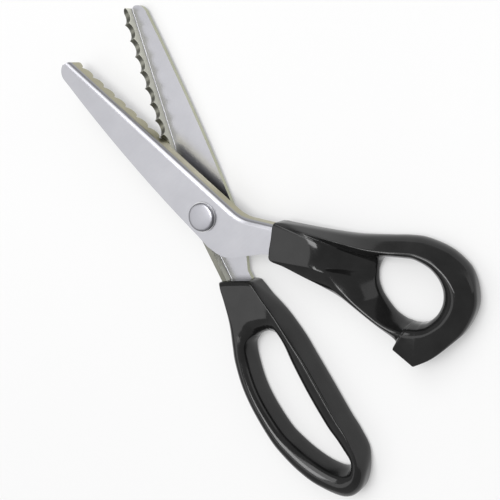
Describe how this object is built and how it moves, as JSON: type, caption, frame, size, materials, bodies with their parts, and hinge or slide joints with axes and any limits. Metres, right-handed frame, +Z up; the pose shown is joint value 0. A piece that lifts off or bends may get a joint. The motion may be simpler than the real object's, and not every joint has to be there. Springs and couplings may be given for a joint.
{
  "type": "pinking shears",
  "caption": "Pinking shears with offset handles, lying open: two folded steel blades with scalloped cutting walls on a screw pivot, and moulded thumb and finger handles.",
  "frame": {"origin": "on the pivot axis, at the flat underside of the barrel nut, which is the level of the surface the shears lie on", "axes": "+Z up along the pivot axis, towards the screw head; +Y towards the tips, halfway between the two blades as they lie open; +X towards the thumb handle's side"},
  "size_m": [0.1157, 0.2248, 0.017],
  "materials": {
    "blade_steel": "satin nickel-plated, fine grain",
    "pivot_steel": "plain turned steel",
    "screw_steel": "polished, low dome",
    "washer_bronze": "plain bearing bronze",
    "handle_plastic": "glossy black, moulded"
  },
  "bodies": {
    "finger_half": {"finger_blade": "blade_steel", "finger_handle": "handle_plastic", "finger_boss": "pivot_steel", "barrel_nut": "pivot_steel", "thrust_washer": "washer_bronze", "spring_washer": "pivot_steel", "pivot_screw": "screw_steel"},
    "thumb_half": {"thumb_blade": "blade_steel", "thumb_handle": "handle_plastic", "thumb_boss": "pivot_steel"}
  },
  "joints": [
    {"name": "blade_pivot", "type": "hinge", "parent": "finger_half", "child": "thumb_half", "pos_m": [0, 0, 0.008], "axis": [0, 0, 1], "range_deg": [-20.5, 16]}
  ]
}
